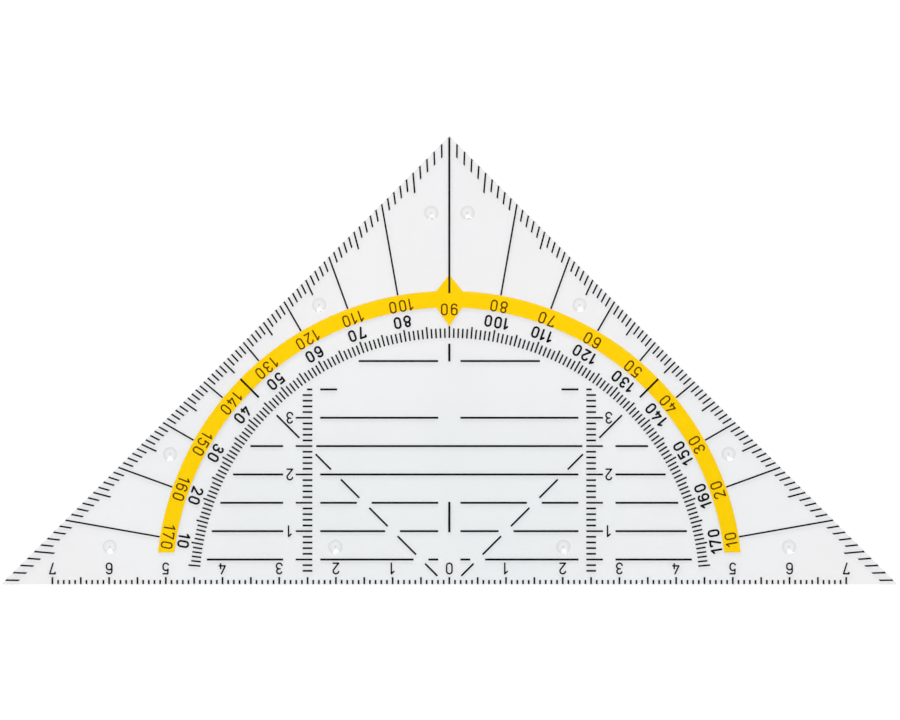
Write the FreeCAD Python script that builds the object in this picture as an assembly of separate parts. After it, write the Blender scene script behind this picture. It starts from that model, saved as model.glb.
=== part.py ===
import FreeCAD, Part
import math
import os
from FreeCAD import Vector

# A clear geometry set square with a printed protractor and centimetre scales.
# One moulded plate carries ten small nubs underneath, which lift it off wet ink.
# All print is on the underside and reads through the plate: black lines and
# numerals first, then a yellow band with a pointer over the right angle.
# The origin is the zero mark on the drawing edge, at paper height. +X runs along
# the drawing edge, +Y to the right-angled corner and +Z up out of the paper.
# Sizes are in millimetres and angles in degrees, counted from +X about the zero.

# Plate, half of a square cut along its diagonal
HYPOTENUSE = 158.0
PLATE_THICKNESS = 1.5
CORNER_RADIUS = 0.15

# Nubs under the plate: a pair below the apex, two pairs outside the band and two
# pairs along the drawing edge
NUB_DIAMETER = 2.6
NUB_HEIGHT = 0.3
NUB_TIP_DIAMETER = 0.4
APEX_NUB_SPREAD = 6.4
APEX_NUB_DROP = 13.5
BAND_NUB_GAP = 1.35
BAND_NUB_SWING = 20.0
EDGE_NUB_RISE = 6.6
CORNER_NUB_INSET = 19.1
FIELD_NUB_SPREAD = 40.2

# Ink. All black print but the edge scale sits a little towards the drawing edge, as it
# does on the photographed one, and a drop of 0 makes it true to the zero mark.
INK_THICKNESS = 0.02
BLACK_DROP = 0.65
FINE_LINE = 0.30
SCALE_LINE = 0.33
DIAGONAL_LINE = 0.33
FIELD_LINE = 0.36
HEAVY_LINE = 0.37
CENTRE_LINE = 0.41
PRINT_MARGIN = 0.05

# Numerals: height over all, the rest along the middle of the stroke
CAP_HEIGHT = 2.14
DIGIT_WIDTH = 0.95
ONE_WIDTH = 0.45
DIGIT_GAP = 0.80
SCALE_STROKE = 0.28
INNER_STROKE = 0.36
OUTER_STROKE = 0.27

# Scale along the drawing edge
DIVISION = 1.0
SCALE_END_CLEARANCE = 8.0
SHORT_EDGE_TICK = 0.75
LONG_EDGE_TICK = 1.25
EDGE_NUMERAL_GAP = 0.45

# Protractor ticks along the two legs, measured square to the leg
DEGREE_TICK = 1.77
FIVE_DEGREE_TICK = 2.78

# Yellow band, inside the legs, with a pointer out and in at the right angle
BAND_LEG_CLEARANCE = 4.16
BAND_WIDTH = 2.9
BAND_FOOT_RISE = 5.6
POINTER_OUT = 2.88
POINTER_IN = 3.3
POINTER_HALF_WIDTH = 2.32
BAND_NUMERAL_SHIFT = 0.15
BAND_ONE_LAG = 0.28
RIGHT_ANGLE_NUMERAL_SHIFT = -1.15
RIGHT_ANGLE_LINE_GAP = 0.28
DIAGONAL_MARK_IN = 1.3
DIAGONAL_MARK_OUT = 0.43

# Inner ring of degree ticks and its numerals
INNER_NUMERAL_GAP = 0.155
INNER_ONE_LAG = 0.1
RING_NUMERAL_GAP = 0.325
RING_TICK = 1.69
RING_LONG_TICK = 2.1
RING_FOOT_RISE = 3.8

# Field of parallels inside the ring
FIELD_CLEARANCE = 1.0
PARALLEL_STEP = 5.0
CENTRE_GAP = 1.95
CROSSING_GAP = 1.3
DIAGONAL_GAP = 0.87
DIAGONAL_FIRST_GAP = 0.72
DIAGONAL_SCALE_GAP = 0.57
DIAGONAL_START = 2.1
SIDE_SCALE_OFFSET = 24.15
SIDE_TICK = 1.72
SIDE_LONG_TICK = 2.95
SIDE_SCALE_START = 3
SIDE_NUMERAL_GAP = 1.03
PARALLEL_SCALE_GAP = 1.37
OUTER_PARALLEL_GAP = 2.2
UPPER_DASH = 3.0
CENTRE_DASH_FOOT = 3.15

# Sizes that follow from those above
HALF = HYPOTENUSE / 2
LEG_DISTANCE = HALF / math.sqrt(2)
BLACK_LEG_DISTANCE = LEG_DISTANCE + BLACK_DROP / math.sqrt(2)
UNDERSIDE = NUB_HEIGHT
PRINT_FACE = UNDERSIDE - INK_THICKNESS
BAND_OUTER = LEG_DISTANCE - BAND_LEG_CLEARANCE
BAND_INNER = BAND_OUTER - BAND_WIDTH
INNER_NUMERAL_RADIUS = BAND_INNER - INNER_NUMERAL_GAP - CAP_HEIGHT / 2
RING_RADIUS = INNER_NUMERAL_RADIUS - CAP_HEIGHT / 2 - RING_NUMERAL_GAP - RING_LONG_TICK
FIELD_RADIUS = RING_RADIUS - FIELD_CLEARANCE
FIVE = 5
TEN = 10
RIGHT = 90
RING_START = FIVE * math.ceil(math.degrees(math.asin(RING_FOOT_RISE / RING_RADIUS)) / FIVE)
SIDES = (-1, 1)


def on_ray(angle, distance, shift=0.0, height=PRINT_FACE):
    """Point at a distance from zero along a ray, and shifted to the ray's left."""
    turn = math.radians(angle)
    return Vector(distance * math.cos(turn) - shift * math.sin(turn),
                  distance * math.sin(turn) + shift * math.cos(turn), height)


def film(points):
    """A film of black ink with straight sides."""
    face = Part.Face(Part.makePolygon(points + points[:1]))
    return face.extrude(Vector(0, 0, INK_THICKNESS))


def bar(start, end, width):
    """A straight inked line with square ends between two (x, y) points."""
    first = Vector(*start, PRINT_FACE)
    last = Vector(*end, PRINT_FACE)
    along = (last - first).normalize()
    side = Vector(-along.y, along.x, 0) * (width / 2)
    return film([first + side, first - side, last - side, last + side])


def ray_bar(angle, inner, outer, width):
    """A straight inked line along a ray, between two distances from zero."""
    half = width / 2
    return film([on_ray(angle, inner, -half), on_ray(angle, outer, -half),
                 on_ray(angle, outer, half), on_ray(angle, inner, half)])


def leg_distance_on(angle, shift, depth):
    """How far along a ray's side line it lies a depth inside the nearer leg."""
    lean = math.radians(angle - (45 if angle < RIGHT else 135))
    return (BLACK_LEG_DISTANCE - depth + shift * math.sin(lean)) / math.cos(lean)


def leg_tick(angle, depth, width):
    """An inked line along a ray, from near the leg to a depth inside it, ends cut to the leg."""
    half = width / 2
    corners = [(-half, depth), (-half, PRINT_MARGIN), (half, PRINT_MARGIN), (half, depth)]
    return film([on_ray(angle, leg_distance_on(angle, shift, deep), shift)
                 for shift, deep in corners])


def leg_ray(angle, inner, width):
    """An inked line along a ray, from near the leg to a distance from zero."""
    half = width / 2
    return film([on_ray(angle, inner, -half),
                 on_ray(angle, leg_distance_on(angle, -half, PRINT_MARGIN), -half),
                 on_ray(angle, leg_distance_on(angle, half, PRINT_MARGIN), half),
                 on_ray(angle, inner, half)])


def line(start, end):
    """A straight piece of a numeral's stroke."""
    return Part.LineSegment(Vector(*start, PRINT_FACE), Vector(*end, PRINT_FACE)).toShape()


def on_circle(centre, radius, angle):
    """The (x, y) point at an angle on a circle."""
    turn = math.radians(angle)
    return (centre[0] + radius * math.cos(turn), centre[1] + radius * math.sin(turn))


def bow(centre, radius, start, end):
    """A round piece of a numeral's stroke, clockwise where end is less than start."""
    points = [on_circle(centre, radius, angle) for angle in (start, (start + end) / 2, end)]
    return Part.Arc(*[Vector(*point, PRINT_FACE) for point in points]).toShape()


def zero(w, h):
    """Straight sides between two half circles."""
    r = w / 2
    return [[line((w, r), (w, h - r)), bow((r, h - r), r, 0, 180),
             line((0, h - r), (0, r)), bow((r, r), r, 180, 360)]]


def one(w, h):
    """A flag and an upright stem."""
    return [[line((0, h - 0.9 * w), (w, h)), line((w, h), (w, 0))]]


def two(w, h):
    """A round head, a slanting line that leaves it smoothly, and a foot."""
    r = w / 2
    head = (r, h - r)
    reach = math.hypot(*head)
    leave = math.degrees(math.atan2(-head[1], -head[0]) + math.acos(r / reach))
    return [[bow(head, r, 170, leave), line(on_circle(head, r, leave), (0, 0)),
             line((0, 0), (w, 0))]]


def three(w, h):
    """Two bowls that meet in a short bar."""
    low = 0.52 * w
    high = h / 2 - low
    waist = ((0.35 * w, 2 * low), (w / 2, 2 * low))
    return [[bow((w / 2, h - high), high, 162, -90), line(waist[1], waist[0])],
            [line(waist[0], waist[1]), bow((w / 2, low), low, 90, -168)]]


def four(w, h):
    """A slanting line, a bar and a short stem that crosses it."""
    bar_height = 0.25 * h
    stem = 0.85 * w
    return [[line((0.7 * w, h), (0, bar_height)), line((0, bar_height), (1.1 * w, bar_height))],
            [line((stem, 0.57 * h), (stem, 0))]]


def five(w, h):
    """A flag, a nearly upright line and an open bowl with a straight right side."""
    r = w / 2
    shoulder = (r, 0.68 * h - r)
    spine = on_circle(shoulder, r, 145)
    return [[line((w, h), (0.14 * w, h)), line((0.14 * w, h), spine),
             bow(shoulder, r, 145, 0), line((w, shoulder[1]), (w, r)), bow((r, r), r, 0, -155)]]


def six(w, h):
    """A tall loop, and a tail that goes on from its left side and bends over it."""
    r = w / 2
    shoulder = 0.62 * h - r
    return [[line((w, r), (w, shoulder)), bow((r, shoulder), r, 0, 180),
             line((0, shoulder), (0, r)), bow((r, r), r, 180, 360)],
            [line((0, shoulder), (0, h - r)), bow((r, h - r), r, 180, 25)]]


def seven(w, h):
    """A bar with a small hook and a slanting stem."""
    return [[line((0, h - 0.25 * w), (0, h)), line((0, h), (w, h)), line((w, h), (0.38 * w, 0))]]


def eight(w, h):
    """A small loop on a larger one."""
    low = 0.54 * w
    high = h / 2 - low
    return [[bow((w / 2, centre), r, 90, 270), bow((w / 2, centre), r, 270, 450)]
            for centre, r in ((low, low), (h - high, high))]


DIGITS = {"0": zero, "1": one, "2": two, "3": three, "4": four,
          "5": five, "6": six, "7": seven, "8": eight}


def inked(edges, width):
    """The film of ink that a pen of the given width leaves along joined edges."""
    lift = Vector(0, 0, INK_THICKNESS)
    if len(edges) == 1 and isinstance(edges[0].Curve, Part.Line):
        ends = [(vertex.X, vertex.Y) for vertex in edges[0].Vertexes]
        return bar(ends[0], ends[1], width)
    path = Part.Wire(edges)
    if path.isClosed():
        outside = Part.Face(path.makeOffset2D(width / 2)).extrude(lift)
        return outside.cut(Part.Face(path.makeOffset2D(-width / 2)).extrude(lift))
    return Part.Face(path.makeOffset2D(width / 2, 0, False, False)).extrude(lift)


def digit_width(digit):
    return ONE_WIDTH if digit == "1" else DIGIT_WIDTH


def digit_solid(digit, stroke, made={}):
    """One digit in its own frame, with the box of its stroke centred on the origin."""
    key = (digit, stroke)
    if key not in made:
        w = digit_width(digit)
        h = CAP_HEIGHT - stroke
        shape_of = DIGITS["6" if digit == "9" else digit]
        solids = [inked(edges, stroke) for edges in shape_of(w, h)]
        solid = solids[0].multiFuse(solids[1:]).removeSplitter() if solids[1:] else solids[0]
        solid = solid.Solids[0]
        solid.translate(Vector(-w / 2, -h / 2, 0))
        if digit == "9":
            solid.rotate(Vector(0, 0, 0), Vector(0, 0, 1), 180)
        made[key] = solid
    return made[key]


def label(text, stroke, centre, turn):
    """The digits of a number, centred on an (x, y) point and turned anticlockwise."""
    widths = [digit_width(digit) for digit in text]
    place = FreeCAD.Placement(Vector(*centre, 0), FreeCAD.Rotation(Vector(0, 0, 1), turn))
    left = -(sum(widths) + DIGIT_GAP * (len(text) - 1)) / 2
    solids = []
    for digit, width in zip(text, widths):
        along = FreeCAD.Placement(Vector(left + width / 2, 0, 0), FreeCAD.Rotation())
        solid = digit_solid(digit, stroke).copy()
        solid.Placement = place.multiply(along).multiply(solid.Placement)
        solids.append(solid)
        left += width + DIGIT_GAP
    return solids


def upside_down(text, stroke, x, y):
    return label(text, stroke, (x, y), 180)


def on_ring(text, stroke, angle, radius, one_lag=0.0):
    """A number on a ray, feet away from zero, set back by a lag if it begins with a one."""
    point = on_ray(angle, radius, -one_lag if text.startswith("1") else 0.0)
    return label(text, stroke, (point.x, point.y), angle + RIGHT)


def nub(x, y):
    """A low round dome with a small flat tip, sunk into the plate for its fusing."""
    base = NUB_DIAMETER / 2
    tip = NUB_TIP_DIAMETER / 2
    centre = (base ** 2 - tip ** 2 - NUB_HEIGHT ** 2) / (2 * NUB_HEIGHT)
    dome = math.hypot(base, centre)
    middle = (base + tip) / 2
    root = UNDERSIDE + PLATE_THICKNESS / 2
    rim = Vector(base, 0, UNDERSIDE)
    flat = Vector(tip, 0, 0)
    belly = Vector(middle, 0, UNDERSIDE + centre - math.sqrt(dome ** 2 - middle ** 2))
    profile = Part.Wire([Part.Arc(rim, belly, flat).toShape(),
                         Part.makePolygon([flat, Vector(0, 0, 0), Vector(0, 0, root),
                                           Vector(base, 0, root), rim])])
    solid = Part.Face(profile).revolve(Vector(0, 0, 0), Vector(0, 0, 1), 360)
    solid.translate(Vector(x, y, 0))
    return solid


def nub_places():
    """The places of the nubs on the right half, mirrored to the left by the plate."""
    band_nub = BAND_OUTER + BAND_NUB_GAP + NUB_DIAMETER / 2
    swung = [on_ray(45 + side * BAND_NUB_SWING, band_nub) for side in SIDES]
    return [(APEX_NUB_SPREAD / 2, HALF - APEX_NUB_DROP),
            (HALF - CORNER_NUB_INSET, EDGE_NUB_RISE),
            (FIELD_NUB_SPREAD / 2, EDGE_NUB_RISE)] + [(point.x, point.y) for point in swung]


def plate():
    """The clear triangle with its small corner rounds and the nubs under it."""
    corners = [Vector(-HALF, 0, UNDERSIDE), Vector(HALF, 0, UNDERSIDE), Vector(0, HALF, UNDERSIDE)]
    body = Part.Face(Part.makePolygon(corners + corners[:1])).extrude(Vector(0, 0, PLATE_THICKNESS))
    upright = [edge for edge in body.Edges
               if abs(edge.tangentAt(edge.FirstParameter).z) > 0.5]
    body = body.makeFillet(CORNER_RADIUS, upright)
    nubs = [nub(side * x, y) for x, y in nub_places() for side in SIDES]
    return body.multiFuse(nubs).removeSplitter().Solids


def edge_marks():
    """Divisions along the drawing edge, out to the last whole ten that fits each side."""
    tens = int((HALF - SCALE_END_CLEARANCE) / (TEN * DIVISION))
    ticks = []
    for step in range(-tens * TEN, tens * TEN + 1):
        length = SHORT_EDGE_TICK if step % FIVE else LONG_EDGE_TICK
        x = step * DIVISION
        ticks.append(bar((x, PRINT_MARGIN), (x, length), SCALE_LINE))
    y = LONG_EDGE_TICK + EDGE_NUMERAL_GAP + CAP_HEIGHT / 2
    numerals = [solid for number in range(-tens, tens + 1)
                for solid in upside_down(str(abs(number)), SCALE_STROKE, number * TEN * DIVISION, y)]
    return ticks, numerals


def leg_ticks(first, last):
    """One and five degree ticks along one leg."""
    return [leg_tick(angle, DEGREE_TICK if angle % FIVE else FIVE_DEGREE_TICK, FINE_LINE)
            for angle in range(first, last) if angle % TEN]


def ten_degree_rays():
    """Rays from near the leg to the rim of the band, whose centre lies above the black zero."""
    return [leg_ray(angle, BAND_OUTER + PRINT_MARGIN + BLACK_DROP * math.sin(math.radians(angle)),
                    FINE_LINE)
            for angle in range(TEN, 2 * RIGHT, TEN) if angle != RIGHT]


def right_angle_line():
    """The heavier line from the band's pointer up into the right-angled corner, cut to its legs."""
    half = HEAVY_LINE / 2
    rounding = CORNER_RADIUS * (math.sqrt(2) - 1)
    foot = BAND_OUTER + RIGHT_ANGLE_LINE_GAP
    top = HALF + BLACK_DROP - rounding - PRINT_MARGIN * math.sqrt(2)
    return [film([Vector(x, y, PRINT_FACE) for x, y in (
        (-half, foot), (half, foot), (half, top - half), (0, top), (-half, top - half))])]


def diagonal_marks():
    """Heavier marks across the band at 45 and 135 degrees."""
    return [ray_bar(angle, BAND_INNER - DIAGONAL_MARK_IN, BAND_OUTER + DIAGONAL_MARK_OUT, HEAVY_LINE)
            for angle in (45, 135)]


def ring_ticks():
    """Degree ticks that stand on the ring, from one side of its foot round to the other."""
    return [ray_bar(angle, RING_RADIUS,
                    RING_RADIUS + (RING_TICK if angle % FIVE else RING_LONG_TICK), FINE_LINE)
            for angle in range(RING_START, 2 * RIGHT - RING_START + 1)]


def ring_numerals():
    """Inner numbers rise from the left and outer ones, on the band, from the right."""
    inner, outer = [], []
    middle = (BAND_INNER + BAND_OUTER) / 2
    for number in range(TEN, 2 * RIGHT, TEN):
        text = str(number)
        if number == RIGHT:
            outer += on_ring(text, OUTER_STROKE, number, middle + RIGHT_ANGLE_NUMERAL_SHIFT)
        else:
            inner += on_ring(text, INNER_STROKE, 2 * RIGHT - number, INNER_NUMERAL_RADIUS,
                             INNER_ONE_LAG)
            outer += on_ring(text, OUTER_STROKE, number, middle + BAND_NUMERAL_SHIFT, BAND_ONE_LAG)
    return inner, outer


def field_reach(y):
    """How far out the round field goes at a height above the drawing edge."""
    return math.sqrt(max(FIELD_RADIUS ** 2 - y ** 2, 0))


def beside_scale(y):
    """Where a parallel stops, short of the side scale or at the rim of the field."""
    return min(SIDE_SCALE_OFFSET - PARALLEL_SCALE_GAP, field_reach(y))


def paired_bars(y, start, end):
    """The same horizontal line on the left and the right, if there is room for one."""
    if end - start < 2 * FIELD_LINE:
        return []
    return [bar((side * start, y), (side * end, y), FIELD_LINE) for side in SIDES]


def parallels():
    """Lines between the side scales: cut at the centre and the diagonals, or run through."""
    lines = []
    for row in (1, 2, 3):
        y = row * PARALLEL_STEP
        lines += paired_bars(y, CENTRE_GAP, y - CROSSING_GAP)
        lines += paired_bars(y, y + CROSSING_GAP, beside_scale(y))
    for row, gap in ((4, PARALLEL_SCALE_GAP), (5, PARALLEL_SCALE_GAP / 2)):
        y = row * PARALLEL_STEP
        reach = SIDE_SCALE_OFFSET - gap
        lines.append(bar((-reach, y), (reach, y), FIELD_LINE))
    for row in (6, 8):
        y = row * PARALLEL_STEP
        lines += paired_bars(y, CENTRE_GAP, beside_scale(y))
    y = 7 * PARALLEL_STEP
    return lines + paired_bars(y, beside_scale(y) - UPPER_DASH, beside_scale(y))


def outer_parallels():
    """The same lines between the side scales and the ring."""
    start = SIDE_SCALE_OFFSET + SIDE_LONG_TICK + OUTER_PARALLEL_GAP
    rows = [row * PARALLEL_STEP for row in range(1, 6)]
    return [solid for y in rows for solid in paired_bars(y, start, field_reach(y))]


def side_ticks(side):
    """Divisions up one side scale, as far as the field reaches."""
    ticks = []
    step = SIDE_SCALE_START
    while field_reach(step * DIVISION) > SIDE_SCALE_OFFSET + 2 * SCALE_LINE:
        y = step * DIVISION
        length = SIDE_TICK if step % FIVE else SIDE_LONG_TICK
        end = min(SIDE_SCALE_OFFSET + length, field_reach(y))
        ticks.append(bar((side * SIDE_SCALE_OFFSET, y), (side * end, y), SCALE_LINE))
        step += 1
    return ticks


def side_numerals():
    """Numbers at each ten of the side scales, where they fit inside the field."""
    x = SIDE_SCALE_OFFSET + SIDE_LONG_TICK + SIDE_NUMERAL_GAP
    corner = x + DIGIT_WIDTH
    solids = []
    number = 1
    while field_reach(number * TEN * DIVISION + CAP_HEIGHT / 2) > corner:
        y = number * TEN * DIVISION
        for side in SIDES:
            solids += upside_down(str(number), SCALE_STROKE, side * x, y)
        number += 1
    return solids


def diagonals():
    """Dashes at 45 degrees, broken at the parallels and at the side scales."""
    crossings = [row * PARALLEL_STEP for row in (1, 2, 3, 4)]
    starts = [DIAGONAL_START] + [y + DIAGONAL_GAP for y in crossings]
    ends = [crossings[0] - DIAGONAL_FIRST_GAP] + [y - DIAGONAL_GAP for y in crossings[1:]]
    ends.append(SIDE_SCALE_OFFSET - DIAGONAL_SCALE_GAP)
    starts.append(SIDE_SCALE_OFFSET + SIDE_TICK + DIAGONAL_SCALE_GAP)
    ends.append(FIELD_RADIUS / math.sqrt(2))
    return [bar((side * start, start), (side * end, end), DIAGONAL_LINE)
            for start, end in zip(starts, ends) if end > start for side in SIDES]


def centre_dashes():
    """Short uprights on the centre line, across rows 2 and 3 and at the top of the field."""
    half = FIELD_LINE / 2
    return [bar((0, 2 * PARALLEL_STEP - half), (0, 3 * PARALLEL_STEP + half), CENTRE_LINE),
            bar((0, FIELD_RADIUS - CENTRE_DASH_FOOT), (0, FIELD_RADIUS), CENTRE_LINE)]


def pointer(tip, rim):
    """A triangle that points along the right angle, from within the band past its rim."""
    middle = (BAND_INNER + BAND_OUTER) / 2
    half = POINTER_HALF_WIDTH * abs(tip - middle) / abs(tip - rim)
    base = PRINT_FACE - INK_THICKNESS
    points = [Vector(-half, middle, base), Vector(half, middle, base), Vector(0, tip, base)]
    return Part.Face(Part.makePolygon(points + points[:1])).extrude(Vector(0, 0, 2 * INK_THICKNESS))


def dropped(solids):
    """Black print, moved from its true place to where it was printed."""
    for solid in solids:
        solid.translate(Vector(0, -BLACK_DROP, 0))
    return solids


def yellow_band(black):
    """The band over the black print: it fills the height of the black film beside it."""
    height = 2 * INK_THICKNESS
    foot = Vector(0, 0, PRINT_FACE - INK_THICKNESS)
    ring = Part.makeCylinder(BAND_OUTER, height, foot).cut(Part.makeCylinder(BAND_INNER, height, foot))
    above = Part.makeBox(HYPOTENUSE, HALF, height, Vector(-HALF, BAND_FOOT_RISE, foot.z))
    band = ring.common(above).multiFuse([pointer(BAND_OUTER + POINTER_OUT, BAND_OUTER),
                                         pointer(BAND_INNER - POINTER_IN, BAND_INNER)])
    return band.removeSplitter().cut(black).Solids


def black_print():
    """Black marks by node name, true to a zero mark at the origin."""
    inner_numerals, outer_numerals = ring_numerals()
    return {
        "right_leg_ticks": leg_ticks(1, RIGHT),
        "left_leg_ticks": leg_ticks(RIGHT + 1, 2 * RIGHT),
        "ten_degree_rays": ten_degree_rays(),
        "right_angle_line": right_angle_line(),
        "diagonal_marks": diagonal_marks(),
        "inner_ring_ticks": ring_ticks(),
        "inner_ring_numerals": inner_numerals,
        "outer_ring_numerals": outer_numerals,
        "parallel_lines": parallels(),
        "outer_parallel_lines": outer_parallels(),
        "left_side_ticks": side_ticks(-1),
        "right_side_ticks": side_ticks(1),
        "side_numerals": side_numerals(),
        "diagonal_dashes": diagonals(),
        "centre_dashes": centre_dashes(),
    }


def build():
    """Every piece, by the name of its file."""
    nodes = {name: dropped(solids) for name, solids in black_print().items()}
    nodes["drawing_edge_ticks"], nodes["drawing_edge_numerals"] = edge_marks()
    under_band = [solid for name in ("outer_ring_numerals", "inner_ring_numerals", "diagonal_marks",
                                     "right_angle_line", "inner_ring_ticks")
                  for solid in nodes[name]]
    nodes["yellow_band"] = yellow_band(under_band)
    nodes["clear_plate"] = plate()
    return nodes


os.makedirs("parts", exist_ok=True)
for name, solids in build().items():
    shape = solids[0] if len(solids) == 1 else Part.makeCompound(solids)
    shape.exportStep("parts/" + name + ".step")
    print(name, len(solids), "solids", round(shape.Volume, 4), "cubic mm")
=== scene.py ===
"""Clear geometry set square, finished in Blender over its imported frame."""
import math

import bmesh
import bpy
import numpy as np
from bpy.props import FloatProperty, FloatVectorProperty, PointerProperty
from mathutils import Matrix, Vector
from mathutils.geometry import delaunay_2d_cdt


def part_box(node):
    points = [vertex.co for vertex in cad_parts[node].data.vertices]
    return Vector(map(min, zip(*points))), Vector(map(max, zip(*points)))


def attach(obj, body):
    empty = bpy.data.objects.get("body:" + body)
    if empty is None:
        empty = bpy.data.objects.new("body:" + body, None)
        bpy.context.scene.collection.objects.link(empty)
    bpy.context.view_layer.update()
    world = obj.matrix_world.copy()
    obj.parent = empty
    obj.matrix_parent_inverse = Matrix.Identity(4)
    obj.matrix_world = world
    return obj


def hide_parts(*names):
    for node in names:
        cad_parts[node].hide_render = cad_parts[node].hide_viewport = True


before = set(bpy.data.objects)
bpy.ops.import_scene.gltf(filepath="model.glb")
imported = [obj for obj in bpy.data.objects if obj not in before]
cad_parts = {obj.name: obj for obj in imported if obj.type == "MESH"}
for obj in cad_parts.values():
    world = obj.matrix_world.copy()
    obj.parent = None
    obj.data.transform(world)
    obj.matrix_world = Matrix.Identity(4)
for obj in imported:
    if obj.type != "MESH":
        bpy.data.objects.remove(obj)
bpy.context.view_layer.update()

bl_info = {
    "name": "Clear Set Square",
    "version": (1, 0, 0),
    "blender": (4, 5, 0),
    "location": "View3D > Sidebar > Set Square",
    "description": "Dresses a moulded geometry set square: clear plate, printed scales and studio",
    "category": "Object",
}

MM = 0.001
WHITE = (1.0, 1.0, 1.0, 1.0)
PLATE_LOW, PLATE_HIGH = (np.array(corner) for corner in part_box("clear_plate"))
BROWN_NODES = ["outer_ring_numerals"]
YELLOW_NODES = ["yellow_band"]
BLACK_NODES = [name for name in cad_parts
               if name not in ["clear_plate"] + BROWN_NODES + YELLOW_NODES]

# Steps of the plate's mesh along a corner, down a rounded edge, round a nub and down a nub
CORNER_STEPS = 9
ROUND_STEPS = 5
SPOKES = 72
NUB_ROWS = 30

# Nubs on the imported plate: how far over its foot a tip reaches, and how tips are gathered
TIP_SLACK = 0.001 * MM
TIP_CELL = 3 * MM
NUB_REACH = 1 * MM

# Painted shade on the nubs: its grey ring round a nub, as shares of the nub's radius, and the
# attribute that holds it
RING_PLACE = 0.84
RING_SPREAD = 0.19
PAINTED_SHADE = "painted_nub_shade"

# Clear plastic: its flow lines and haze
PLASTIC_IOR = 1.49
PLASTIC_RELIEF = 0.012 * MM
FLOW_SIZE = 24 * MM
FLOW_STRETCH = 0.35
FLOW_DEGREES = 20
FLOW_PALING = 0.2
HAZE_SIZE = 9 * MM
HAZE_ROUGHNESS = 0.02

# The share of shadow rays and diffuse rays that goes straight through it
LET_THROUGH = 0.99

# Hair scratches: degrees that they are turned by and how wide they are
HAIRS = ((15, 0.5 * MM), (72, 0.7 * MM), (131, 0.6 * MM))
HAIR_STRETCH = 0.02
HAIR_ROUGHNESS = 0.012

# Painted light: the plate's tint grows lighter away from a point on the centre line toward the
# apex; the point, its squeeze sideways, and where the change starts and ends
PAINTED_LIGHT_MIDDLE = 15 * MM
PAINTED_LIGHT_SIDEWAYS = 0.4
PAINTED_LIGHT_START = 2 * MM
PAINTED_LIGHT_END = 40 * MM

# Fine upright lines on the satin wall
DRAW_LINE = 0.35 * MM
DRAW_STRETCH = 0.08
DRAW_WEAR = 0.9
DRAW_RELIEF = 0.01 * MM

# Dried ink, and how many times as bright it is where it is thin
INK_IOR = 1.45
INK_GLOSS = 0.04
INK_CLOUD = 2.5 * MM
INK_RELIEF = 0.004 * MM
THIN_BLACK = 2.2
THIN_BROWN = 1.2
THIN_YELLOW = 0.97

# The table: half its width, how far it lies under the nubs, and its paint
TABLE_REACH = 6.0
TABLE_DROP = 0.05 * MM
TABLE_GREY = 0.8

# Sines of the heights over the horizon between which the mirrored sky dims
CEILING_START = 0.72
CEILING_END = 0.93

# Light that turned back inside the plate has bounced more often than this
TURNED_BACK = 3.5

# The photograph's width, the scale and middle of its print, and the camera's sensor
FRAME_PIXELS = 900
PIXELS_PER_MM = 5.668
FRAME_MIDDLE = (0.12 * MM, 39.54 * MM)
PRINT_RISE = 0.3 * MM
SENSOR_WIDTH = 36.0


def length(name, description, default):
    """A size in metres for a property group."""
    return FloatProperty(name=name, description=description, default=default,
                         min=0.0, max=1.0, precision=6, subtype="DISTANCE", unit="LENGTH")


def share(name, description, default, high=1.0):
    """A number from nothing to a highest value."""
    return FloatProperty(name=name, description=description, default=default, min=0.0, max=high)


def watts(name, description, default):
    """A lamp's power."""
    return FloatProperty(name=name, description=description, default=default,
                         min=0.0, max=1000.0, subtype="POWER", unit="POWER")


def colour(name, description, default):
    """A linear colour."""
    return FloatVectorProperty(name=name, description=description, default=default,
                               size=3, min=0.0, max=1.0, subtype="COLOR")


class PlateSettings(bpy.types.PropertyGroup):
    """Sizes and colours of the clear plate and its nubs"""
    hypotenuse: length("Drawing edge", "Length between the sharp corners", 158 * MM)
    nub_height: length("Nub height", "From the underside down to the paper", 0.3 * MM)
    nub_radius: length("Nub radius", "Radius of each nub where it leaves the plate", 1.3 * MM)
    corner_radius: length("Corner radius", "Rounding of the three corners in plan", 0.15 * MM)
    edge_break: length("Edge break", "Rounding along the upper and lower rim", 0.06 * MM)
    ink_gap: length("Ink clearance", "Sliver between the underside and the print", 0.004 * MM)
    tip_radius: length("Tip radius", "Radius of the flat tip of a nub", 0.2 * MM)
    nub_softness: share("Nub softness", "How far a nub's cone is rounded, of its radius", 0.12)
    dimple_radius: length("Dimple radius", "Radius of the pin mark on a nub's tip", 0.18 * MM)
    dimple_depth: length("Dimple depth", "Depth of the pin mark on a nub's tip", 0.07 * MM)
    # Painted shade on the nubs, in place of the shade their refraction shows: grey over each nub,
    # greyer near its rim and greyer still in its pin mark
    nub_shade: share("Nub shade", "How grey a nub is", 0.13)
    ring_shade: share("Ring shade", "How much greyer a nub is near its rim", 0.20)
    dimple_shade: share("Dimple shade", "How much greyer a nub is in its pin mark", 0.5)
    # The plate's tint: partly the plastic's own faint colour and partly painted shade, as from the
    # plate's shadow on the table; the lighter apex is painted light
    field_tint_and_shade: colour("Field tint", "Colour of light that has come through the plate inside "
                       "the band", (0.851, 0.889, 0.899))
    apex_tint_and_light: colour("Apex tint", "The same near the right angle", (0.917, 0.904, 0.918))
    # Painted shade: the colour toward which the nubs' painted shade turns the plate's tint
    painted_shade_tint: colour("Mark tint", "Colour of light through the darkest mould mark",
                      (0.12, 0.13, 0.13))
    edge_tint: colour("Edge tint", "Colour of the satin wall round the plate", (0.60, 0.66, 0.67))
    edge_clearness: share("Edge clearness", "How much light goes on through the wall", 0.25)
    roughness: share("Roughness", "Roughness of the moulded faces", 0.02)


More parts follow.
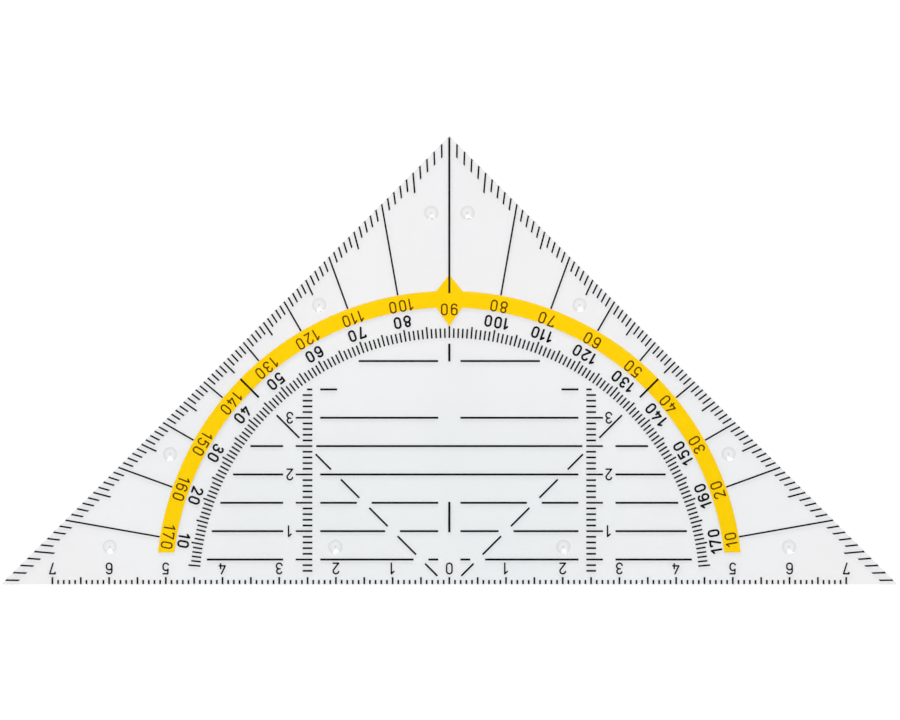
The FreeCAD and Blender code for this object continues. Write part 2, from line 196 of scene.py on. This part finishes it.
class InkSettings(bpy.types.PropertyGroup):
    """Colours and texture of the print"""
    black: colour("Black", "Colour of the scales and numerals", (0.004, 0.004, 0.005))
    brown: colour("Brown", "Colour of the thinner numerals on the band", (0.10, 0.028, 0.001))
    yellow: colour("Yellow", "Colour of the band", (0.99, 0.63, 0.002))
    roughness: share("Roughness", "Roughness of the dried ink", 0.5)
    grain: length("Grain", "Size of the mesh grain left by screen printing", 0.22 * MM)


class StudioSettings(bpy.types.PropertyGroup):
    """Light, table and camera"""
    floor_glow: share("Floor glow", "How bright the floor looks without lamps", 0.729)
    floor_shade: share("Floor shade", "How much of the lamps' light and shadow it shows", 0.25)
    sky: share("Sky", "Even light from all around", 0.418, 4.0)
    mirrored: share("Mirrored sky", "How bright the surroundings look in glossy faces", 0.7)
    ceiling: share("Ceiling", "How bright the part straight overhead looks in glossy faces", 0.02)
    key_watts: watts("Key lamp", "Power of the long lamp beyond the apex", 19.2)
    fill_watts: watts("Fill lamps", "Power of each lamp at the sides", 6.8)
    glint_watts: watts("Glint lamp", "Power of the narrow lamp that shows in the nubs", 8.0)
    lens: FloatProperty(name="Lens", description="Focal length of the camera in millimetres",
                        default=300.0, min=35.0, max=600.0, subtype="DISTANCE_CAMERA")


class Wire:
    """A value in a node tree, on which operators add Math nodes, with numbers on either side."""

    def __init__(self, finish, socket):
        self.finish = finish
        self.socket = socket

    def maths(self, operation, other):
        return self.finish.add("ShaderNodeMath", {"operation": operation}, {0: self, 1: other})

    def __add__(self, other):
        return self.maths("ADD", other)

    __radd__ = __add__

    def __mul__(self, other):
        return self.maths("MULTIPLY", other)

    __rmul__ = __mul__

    def __gt__(self, other):
        return self.maths("GREATER_THAN", other)

    def __lt__(self, other):
        """The reflected form of >."""
        return self.maths("LESS_THAN", other)

    def ramp(self, low, high):
        """0 below low, 1 above high, and a smooth rise between them."""
        return self.finish.add("ShaderNodeMapRange", {"interpolation_type": "SMOOTHSTEP"},
                               {"Value": self, "From Min": low, "From Max": high})


class Finish:
    """An emptied node tree, with one method that adds any node."""

    def __init__(self, tree):
        self.tree = tree
        tree.nodes.clear()

    def add(self, kind, settings=None, values=None, output=0):
        """A node of a kind: its settings first, then its sockets by name or number."""
        node = self.tree.nodes.new(kind)
        for name, value in (settings or {}).items():
            setattr(node, name, value)
        for name, value in (values or {}).items():
            if isinstance(value, Wire):
                self.tree.links.new(value.socket, node.inputs[name])
            else:
                node.inputs[name].default_value = value
        return Wire(self, node.outputs[output]) if node.outputs else None

    def blend(self, factor, first, second):
        """From the first colour to the second as factor goes from 0 to 1."""
        return self.add("ShaderNodeMix", {"data_type": "RGBA"}, {0: factor, 6: first, 7: second}, 2)

    def either(self, factor, first, second):
        """From the first shader to the second."""
        return self.add("ShaderNodeMixShader", None, {0: factor, 1: first, 2: second})

    def place(self, stretch=(1.0, 1.0, 1.0), degrees=0):
        """Object coordinates turned about Z and scaled: a small scale draws a pattern out."""
        spot = self.add("ShaderNodeTexCoord", output="Object")
        return self.add("ShaderNodeMapping", None, {
            "Vector": spot, "Rotation": (0.0, 0.0, math.radians(degrees)), "Scale": stretch})

    def noise(self, size, detail=2.0, where=None):
        """Cloudy values about 0.5 with features of a size in metres."""
        return self.add("ShaderNodeTexNoise", None,
                        {"Vector": where or self.place(), "Scale": 1 / size, "Detail": detail})

    def bump(self, height, distance, strength=1.0):
        """A normal from a height of 0 to 1 that stands for a distance in metres."""
        return self.add("ShaderNodeBump", None,
                        {"Height": height, "Distance": distance, "Strength": strength})

    def ray(self, kind):
        """1 for rays of a kind and 0 for all others."""
        return self.add("ShaderNodeLightPath", output="Is " + kind + " Ray")

    def show(self, surface):
        """Makes a shader the material's surface."""
        self.add("ShaderNodeOutputMaterial", None, {"Surface": surface})

    def show_clear(self, body):
        """The body as the surface, though shadow rays and diffuse rays pass straight through."""
        clear = self.add("ShaderNodeBsdfTransparent", None, {"Color": grey(LET_THROUGH)})
        lit_through = self.either(self.ray("Diffuse"), body, clear)
        self.show(self.either(self.ray("Shadow"), lit_through, clear))


def opaque(rgb, brightness=1.0):
    """A colour times its brightness, with an alpha of 1."""
    return (*(part * brightness for part in rgb), 1.0)


def grey(value):
    """An opaque grey."""
    return opaque((value, value, value))


def new_finish(name):
    """A material with an emptied node tree."""
    material = bpy.data.materials.new(name)
    material.use_nodes = True
    return material, Finish(material.node_tree)


def tint_with_painted_light(finish, settings):
    """The field's tint, which holds painted shade, about a point on the centre line, and the apex's
    away from it, lighter as painted light.
    """
    middle = finish.add("ShaderNodeMapping", None, {
        "Vector": finish.place((PAINTED_LIGHT_SIDEWAYS, 1.0, 0.0)), "Location": (0.0, -PAINTED_LIGHT_MIDDLE, 0.0)})
    away = finish.add("ShaderNodeVectorMath", {"operation": "LENGTH"}, {0: middle}, "Value")
    return finish.blend(away.ramp(PAINTED_LIGHT_START, PAINTED_LIGHT_END), opaque(settings.field_tint_and_shade),
                        opaque(settings.apex_tint_and_light))


def clear_plastic(settings):
    """Polished clear plastic: faint flow lines, hair scratches, handling haze, a tint with painted
    shade that lightens toward the apex as painted light, and nubs greyed by painted shade.
    """
    material, finish = new_finish("clear_plastic")
    flow = finish.noise(FLOW_SIZE, 3.0, finish.place((1.0, FLOW_STRETCH, 1.0), FLOW_DEGREES))
    haze = finish.noise(HAZE_SIZE, 4.0).ramp(0.52, 0.72)
    hairs = 0.0
    for degrees, width in HAIRS:
        strand = finish.noise(width, 1.0, finish.place((1.0, HAIR_STRETCH, 1.0), degrees))
        hairs = strand.ramp(0.70, 0.74) + hairs
    # The tint with its painted shade and painted light, paled along the flow lines
    paler = finish.blend(flow.ramp(0.3, 0.7) * FLOW_PALING, tint_with_painted_light(finish, settings), WHITE)
    # Painted shade on the nubs, read from the mesh attribute, turns the tint toward the painted
    # shade's colour
    mark = finish.add("ShaderNodeAttribute", {"attribute_name": PAINTED_SHADE}, output="Fac")
    body = finish.add("ShaderNodeBsdfPrincipled", None, {
        "Base Color": finish.blend(mark, paler, opaque(settings.painted_shade_tint)),
        "IOR": PLASTIC_IOR, "Transmission Weight": 1.0,
        "Roughness": haze * HAZE_ROUGHNESS + hairs * HAIR_ROUGHNESS + settings.roughness,
        "Normal": finish.bump(flow * 0.8 + hairs * 0.02, PLASTIC_RELIEF)})
    finish.show_clear(body)
    return material


def satin_edge(settings):
    """The wall round the plate: satin from the mould, with fine upright draw lines."""
    material, finish = new_finish("satin_edge")
    lines = finish.noise(DRAW_LINE, 2.0, finish.place((1.0, 1.0, DRAW_STRETCH)))
    body = finish.add("ShaderNodeBsdfPrincipled", None, {
        "Base Color": finish.blend(lines.ramp(0.3, 0.7), opaque(settings.edge_tint),
                                   opaque(settings.edge_tint, DRAW_WEAR)),
        "IOR": PLASTIC_IOR, "Transmission Weight": settings.edge_clearness,
        "Roughness": lines * 0.1 + 0.15, "Normal": finish.bump(lines, DRAW_RELIEF, 0.5)})
    finish.show_clear(body)
    return material


def printed_ink(name, rgb, thin, settings):
    """Dried screen ink: mottled density and a woven mesh grain."""
    material, finish = new_finish(name)
    cloud = finish.noise(INK_CLOUD, 3.0)
    spot = finish.add("ShaderNodeTexVoronoi", {"feature": "F1"},
                      {"Vector": finish.place(), "Scale": 1 / settings.grain}, "Distance")
    density = cloud.ramp(0.3, 0.7) * 0.7 + spot.ramp(0.1, 0.7) * 0.3
    skin = finish.noise(settings.grain * 0.6, 2.0)
    finish.show(finish.add("ShaderNodeBsdfPrincipled", None, {
        "Base Color": finish.blend(density, opaque(rgb), opaque(rgb, thin)),
        "Roughness": skin * 0.2 + (settings.roughness - 0.1),
        "IOR": INK_IOR, "Specular IOR Level": INK_GLOSS,
        "Normal": finish.bump(skin * 0.5 + spot * 0.5, INK_RELIEF, 0.6)}))
    return material


def corner_arcs(settings):
    """Centres and outward directions round the plate: steps of each corner's arc in turn.

    A corner's centre lies on its bisector, radius / sin(half the corner's angle) inside it.
    """
    half = settings.hypotenuse / 2
    corners = np.array([(half, 0.0), (0.0, half), (-half, 0.0)])
    bisectors = np.radians([157.5, 270.0, 22.5])
    half_angles = np.radians([22.5, 45.0, 22.5])
    starts = np.radians([-90.0, 45.0, 135.0])
    sweeps = np.pi - 2 * half_angles
    inward = np.stack([np.cos(bisectors), np.sin(bisectors)], 1)
    centres = corners + inward * (settings.corner_radius / np.sin(half_angles))[:, None]
    turns = starts[:, None] + sweeps[:, None] * np.linspace(0, 1, CORNER_STEPS)[None, :]
    directions = np.stack([np.cos(turns), np.sin(turns)], 2).reshape(-1, 2)
    return np.repeat(centres, CORNER_STEPS, 0), directions


def rim_profile(settings):
    """(inset, height) pairs down the rim: a quarter round, the upright wall, a quarter round.

    On the rounds, inset = break * (1 - sin t) and drop = break * (1 - cos t), t from 0 to 90
    degrees at the top and back again at the bottom.
    """
    top = PLATE_HIGH[2]
    bottom = PLATE_LOW[2] + settings.nub_height + settings.ink_gap
    turn = np.linspace(0, np.pi / 2, ROUND_STEPS)
    inset = settings.edge_break * (1 - np.sin(turn))
    drop = settings.edge_break * (1 - np.cos(turn))
    return np.concatenate([inset, inset[::-1]]), np.concatenate([top - drop, bottom + drop[::-1]])


def rim_points(settings):
    """The rim's profile carried round the rounded triangle: rows down it, steps round it."""
    centres, directions = corner_arcs(settings)
    inset, height = rim_profile(settings)
    flat = centres[None] + directions[None] * (settings.corner_radius - inset)[:, None, None]
    tall = np.broadcast_to(height[:, None, None], flat.shape[:2] + (1,))
    return np.concatenate([flat, tall], 2)


def nub_places():
    """Middles of the ten nubs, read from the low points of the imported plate.

    The points are gathered in square cells, and cells that share a nub are joined by weight.
    """
    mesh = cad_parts["clear_plate"].data
    points = np.empty(len(mesh.vertices) * 3, np.float32)
    mesh.vertices.foreach_get("co", points)
    points = points.reshape(-1, 3)
    tips = points[points[:, 2] < PLATE_LOW[2] + TIP_SLACK][:, :2].astype(float)
    owner = np.unique(np.round(tips / TIP_CELL), axis=0, return_inverse=True)[1].ravel()
    count = np.bincount(owner)
    middles = np.stack([np.bincount(owner, tips[:, axis]) for axis in (0, 1)], 1) / count[:, None]
    nubs = []
    for index, middle in enumerate(middles):
        near = np.hypot(*(middles - middle).T) < NUB_REACH
        if index == np.flatnonzero(near)[0]:
            weight = count[near][:, None]
            nubs.append((middles[near] * weight).sum(0) / weight.sum())
    return np.array(nubs)


def nub_profile(settings):
    """(radius, height, painted shade) down a nub, from its rim to near its middle.

    With u from 0 at the flat tip to 1 at the rim and s the softness, the depth is the nub's
    height * (sqrt(1 + s^2) - sqrt(u^2 + s^2)) / (sqrt(1 + s^2) - s), a blunt cone. Inside its
    own radius the dimple lifts it by its depth * (1 + cos(pi * radius / its radius)) / 2. The
    mark, a painted shade that stands in for the shade of the nub's refraction, is nub shade +
    ring shade * exp(-((p - ring place) / ring spread)^2), with p the share of the nub's radius,
    and dimple shade * cos(pi / 2 * radius / its radius) more in the dimple. It is 0 on the rim
    itself, which the flat underside shares.
    """
    nub, tip, dimple = settings.nub_radius, settings.tip_radius, settings.dimple_radius
    radius = np.concatenate([np.linspace(nub, dimple, NUB_ROWS, endpoint=False),
                             np.linspace(dimple, 0, NUB_ROWS // 3, endpoint=False)])
    soft = settings.nub_softness
    along = np.clip((radius - tip) / (nub - tip), 0, 1)
    whole = math.hypot(1, soft)
    depth = settings.nub_height * (whole - np.hypot(along, soft)) / (whole - soft)
    inside = np.clip(radius / dimple, 0, 1)
    dip = (1 + np.cos(np.pi * inside)) / 2
    underside = PLATE_LOW[2] + settings.nub_height + settings.ink_gap
    lowered = depth * (1 + settings.ink_gap / settings.nub_height)
    height = underside - lowered + settings.dimple_depth * dip
    # The painted shade: grey over the nub, a greyer ring near its rim and a darker pin mark
    ring = np.exp(-((radius / nub - RING_PLACE) / RING_SPREAD) ** 2)
    mark = (settings.nub_shade + settings.ring_shade * ring
            + settings.dimple_shade * np.cos(np.pi / 2 * inside))
    mark[0] = 0.0
    return radius, height, mark


def nub_points(nubs, radius, height):
    """A profile turned about each nub's axis: nubs, rows down them, spokes round them."""
    turn = np.linspace(0, 2 * np.pi, SPOKES, endpoint=False)
    circle = np.stack([np.cos(turn), np.sin(turn)], 1)
    flat = nubs[:, None, None, :] + radius[None, :, None, None] * circle[None, None, :, :]
    tall = np.broadcast_to(height[None, :, None, None], flat.shape[:3] + (1,))
    return np.concatenate([flat, tall], 3)


def grid_faces(ids):
    """Quads between the rows of a grid of point numbers whose columns close into a ring."""
    after = np.roll(ids, -1, 1)
    return np.stack([ids[:-1], after[:-1], after[1:], ids[1:]], -1).reshape(-1, 4)


def underside_faces(points, loops, nubs, nub_radius):
    """Triangles between closed loops of point numbers, with none inside a nub's circle.

    They are a Delaunay triangulation, in millimetres, that keeps the loops' own edges.
    """
    ids = np.concatenate(loops)
    spots = np.split(np.arange(len(ids)), np.cumsum([len(loop) for loop in loops])[:-1])
    edges = np.concatenate([np.stack([spot, np.roll(spot, -1)], 1) for spot in spots])
    outline = [Vector(point) for point in (points[ids][:, :2] / MM).tolist()]
    whole_hull, tolerance = 0, 1e-5
    _, _, faces, origins, _, _ = delaunay_2d_cdt(outline, edges.tolist(), [],
                                                 whole_hull, tolerance)
    back = np.array([origin[0] for origin in origins])
    triangles = ids[back[np.array(faces)]]
    middle = points[triangles][:, :, :2].mean(1)
    gap = np.hypot(*(middle[:, None] - nubs[None]).transpose(2, 0, 1)).min(1)
    return triangles[gap > nub_radius]


def plate_mesh(settings):
    """The plate and its nubs as one closed mesh in metres.

    The rim is a profile carried round the rounded triangle, each nub is a profile turned about
    its own axis, and the underside is triangulated between the rim and the nubs' circles.
    """
    rim = rim_points(settings)
    nubs = nub_places()
    radius, height, nub_painted_shade = nub_profile(settings)
    sides = nub_points(nubs, radius, height)
    middles = np.concatenate([nubs, np.full((len(nubs), 1), height[-1])], 1)
    points = np.concatenate([rim.reshape(-1, 3), sides.reshape(-1, 3), middles])
    rim_ids = np.arange(rim.size // 3).reshape(rim.shape[:2])
    side_ids = rim_ids.size + np.arange(sides.size // 3).reshape(sides.shape[:3])
    middle_ids = rim_ids.size + side_ids.size + np.arange(len(nubs))

    rim_faces = grid_faces(rim_ids)
    side_faces = np.concatenate([grid_faces(ids)[:, ::-1] for ids in side_ids])
    below = underside_faces(points, [rim_ids[-1], *side_ids[:, 0]], nubs, settings.nub_radius)
    fans = np.concatenate([np.stack([np.roll(last, -1), last, np.full(SPOKES, middle)], 1)
                           for last, middle in zip(side_ids[:, -1], middle_ids)])
    top = rim_ids[:1]
    groups = (rim_faces, side_faces, below, fans, top)
    shape = bpy.data.meshes.new("clear_plate_body")
    shape.from_pydata(points, [], [face for group in groups for face in group.tolist()])

    on_wall = np.repeat(np.arange(len(rim) - 1) == ROUND_STEPS - 1, rim.shape[1])
    smooth = (~on_wall, np.ones(len(side_faces), bool), np.zeros(len(below), bool),
              np.ones(len(fans), bool), np.zeros(len(top), bool))
    shape.polygons.foreach_set("use_smooth", np.concatenate(smooth))
    satin = np.zeros(len(shape.polygons), np.int32)
    satin[:len(on_wall)] = on_wall
    shape.polygons.foreach_set("material_index", satin)
    # Painted shade down each nub, kept as a point attribute; the flat underside has none
    mark = np.zeros(len(points), np.float32)
    mark[side_ids] = nub_painted_shade[None, :, None]
    mark[middle_ids] = nub_painted_shade[-1]
    shape.attributes.new(PAINTED_SHADE, "FLOAT", "POINT").data.foreach_set("value", mark)
    outward = bmesh.new()
    outward.from_mesh(shape)
    bmesh.ops.recalc_face_normals(outward, faces=outward.faces)
    outward.to_mesh(shape)
    outward.free()
    return shape


def put(name, data):
    """An object in the scene that holds a mesh, a lamp or a camera."""
    piece = bpy.data.objects.new(name, data)
    bpy.context.scene.collection.objects.link(piece)
    return piece


class SETSQUARE_OT_plate(bpy.types.Operator):
    """Model the clear plate with its ten nubs and give it its plastic"""
    bl_idname = "setsquare.plate"
    bl_label = "Clear plate"

    def execute(self, context):
        settings = context.scene.setsquare_plate
        piece = put("clear_plate_body", plate_mesh(settings))
        for material in (clear_plastic(settings), satin_edge(settings)):
            piece.data.materials.append(material)
        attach(piece, "root")
        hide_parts("clear_plate")
        return {"FINISHED"}


def dress(names, material):
    """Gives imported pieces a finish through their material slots."""
    for name in names:
        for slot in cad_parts[name].material_slots:
            slot.material = material


class SETSQUARE_OT_black_print(bpy.types.Operator):
    """Ink the scales, numerals and lines in black, and those on the band in brown"""
    bl_idname = "setsquare.black_print"
    bl_label = "Black print"

    def execute(self, context):
        settings = context.scene.setsquare_ink
        dress(BLACK_NODES, printed_ink("black_ink_print", settings.black, THIN_BLACK, settings))
        dress(BROWN_NODES, printed_ink("brown_ink_print", settings.brown, THIN_BROWN, settings))
        return {"FINISHED"}


class SETSQUARE_OT_yellow_print(bpy.types.Operator):
    """Ink the band and its pointer in yellow"""
    bl_idname = "setsquare.yellow_print"
    bl_label = "Yellow print"

    def execute(self, context):
        settings = context.scene.setsquare_ink
        dress(YELLOW_NODES, printed_ink("yellow_ink_print", settings.yellow, THIN_YELLOW, settings))
        return {"FINISHED"}


def floor(settings):
    """A white table top: even glow to the eye and in glass, and plain paint to all other light.

    It isn't seen from below, so that the nubs and the print can be looked at from there.
    """
    low = PLATE_LOW[2] - TABLE_DROP
    corners = [(x * TABLE_REACH, y * TABLE_REACH, low)
               for x, y in ((-1, -1), (1, -1), (1, 1), (-1, 1))]
    shape = bpy.data.meshes.new("floor")
    shape.from_pydata(corners, [], [(0, 1, 2, 3)])
    piece = put("floor", shape)
    material, finish = new_finish("white_table")
    paint = finish.add("ShaderNodeBsdfDiffuse", None, {"Color": grey(TABLE_GREY)})
    glow = finish.add("ShaderNodeEmission", None,
                      {"Color": WHITE, "Strength": settings.floor_glow})
    shade = finish.add("ShaderNodeBsdfDiffuse", None, {"Color": grey(settings.floor_shade)})
    shown = finish.add("ShaderNodeAddShader", None, {0: glow, 1: shade})
    seen = finish.ray("Camera") + finish.ray("Glossy") + finish.ray("Transmission")
    from_below = finish.add("ShaderNodeNewGeometry", output="Backfacing")
    through = finish.add("ShaderNodeBsdfTransparent", None, {"Color": WHITE})
    finish.show(finish.either(from_below, finish.either(seen, paint, shown), through))
    piece.data.materials.append(material)


def sky(settings):
    """Soft light from all around: white to the eye, greyer in glass and dim straight overhead."""
    world = bpy.data.worlds.new("studio")
    bpy.context.scene.world = world
    world.use_nodes = True
    finish = Finish(world.node_tree)
    direction = finish.add("ShaderNodeTexCoord", output="Generated")
    upward = finish.add("ShaderNodeSeparateXYZ", None, {0: direction}, "Z")
    ceiling = finish.blend(upward.ramp(CEILING_START, CEILING_END), WHITE, grey(settings.ceiling))
    light = finish.add("ShaderNodeBackground", None, {"Color": WHITE, "Strength": settings.sky})
    mirrored = finish.add("ShaderNodeBackground", None,
                          {"Color": ceiling, "Strength": settings.mirrored})
    white = finish.add("ShaderNodeBackground", None, {"Color": WHITE})
    in_glass = finish.ray("Glossy") + finish.ray("Transmission")
    unseen = finish.either(in_glass, light, mirrored)
    finish.add("ShaderNodeOutputWorld", None,
               {"Surface": finish.either(finish.ray("Camera"), unseen, white)})


def lamp(name, power, azimuth, elevation, distance, size):
    """A soft oblong lamp that faces the middle of the plate and lights it, but isn't seen.

    Its place is distance * (cos e * cos a, cos e * sin a, sin e) from there.
    """
    data = bpy.data.lights.new(name, "AREA")
    data.shape = "RECTANGLE"
    data.size, data.size_y = size
    data.energy = power
    a, e = math.radians(azimuth), math.radians(elevation)
    away = Vector((math.cos(e) * math.cos(a), math.cos(e) * math.sin(a), math.sin(e)))
    piece = put(name, data)
    piece.location = Vector((0.0, PLATE_HIGH[1] / 2, 0.0)) + away * distance
    piece.rotation_euler = away.to_track_quat("Z", "Y").to_euler()
    piece.visible_camera = piece.visible_glossy = piece.visible_transmission = False
    return piece


def show_in_nubs(piece):
    """Lets a lamp light nothing, and shows it only where the plate turns its light back."""
    piece.visible_diffuse = False
    piece.visible_glossy = piece.visible_transmission = True
    piece.data.use_nodes = True
    finish = Finish(piece.data.node_tree)
    bounces = finish.add("ShaderNodeLightPath", output="Ray Depth")
    glow = finish.add("ShaderNodeEmission", None, {"Strength": bounces > TURNED_BACK})
    finish.add("ShaderNodeOutputLight", None, {"Surface": glow})


def camera(settings):
    """Straight down on the plate from far off, with the drawing edge along the frame's foot."""
    data = bpy.data.cameras.new("camera")
    data.lens = settings.lens
    data.sensor_width = SENSOR_WIDTH
    width = FRAME_PIXELS / PIXELS_PER_MM * MM
    distance = width * data.lens / data.sensor_width
    piece = put("camera", data)
    piece.location = (*FRAME_MIDDLE, PLATE_LOW[2] + PRINT_RISE + distance)
    data.clip_start, data.clip_end = 0.01, 50.0
    bpy.context.scene.camera = piece


class SETSQUARE_OT_stage(bpy.types.Operator):
    """Lay out the white table, the soft light and the camera overhead"""
    bl_idname = "setsquare.stage"
    bl_label = "Studio"

    def execute(self, context):
        settings = context.scene.setsquare_studio
        floor(settings)
        sky(settings)
        lamp("key", settings.key_watts, azimuth=100, elevation=32, distance=1.3, size=(1.3, 0.6))
        for name, azimuth in (("left_fill", 200), ("right_fill", -30)):
            lamp(name, settings.fill_watts, azimuth, elevation=38, distance=1.5, size=(1.0, 1.0))
        show_in_nubs(lamp("glint", settings.glint_watts, azimuth=98, elevation=37.5,
                          distance=1.3, size=(1.2, 0.24)))
        camera(settings)
        context.scene.view_settings.view_transform = "Standard"
        return {"FINISHED"}


class SETSQUARE_PT_panel(bpy.types.Panel):
    """The set square's pieces and their settings"""
    bl_idname = "SETSQUARE_PT_panel"
    bl_label = "Set Square"
    bl_space_type = "VIEW_3D"
    bl_region_type = "UI"
    bl_category = "Set Square"

    def draw(self, context):
        for _, owner in SETTINGS:
            box = self.layout.box()
            group = getattr(context.scene, owner)
            for prop in group.bl_rna.properties:
                if prop.identifier not in ("name", "rna_type"):
                    box.prop(group, prop.identifier)
        for operator in OPERATORS:
            self.layout.operator(operator.bl_idname)


OPERATORS = (SETSQUARE_OT_plate, SETSQUARE_OT_black_print, SETSQUARE_OT_yellow_print,
             SETSQUARE_OT_stage)
SETTINGS = ((PlateSettings, "setsquare_plate"), (InkSettings, "setsquare_ink"),
            (StudioSettings, "setsquare_studio"))


def register():
    for group, owner in SETTINGS:
        bpy.utils.register_class(group)
        setattr(bpy.types.Scene, owner, PointerProperty(type=group))
    for part in OPERATORS + (SETSQUARE_PT_panel,):
        bpy.utils.register_class(part)


def unregister():
    for part in reversed(OPERATORS + (SETSQUARE_PT_panel,)):
        bpy.utils.unregister_class(part)
    for group, owner in reversed(SETTINGS):
        delattr(bpy.types.Scene, owner)
        bpy.utils.unregister_class(group)


def main():
    """Makes the set square and its studio."""
    register()
    bpy.ops.setsquare.plate()
    bpy.ops.setsquare.black_print()
    bpy.ops.setsquare.yellow_print()
    bpy.ops.setsquare.stage()


if __name__ == "__main__":
    main()
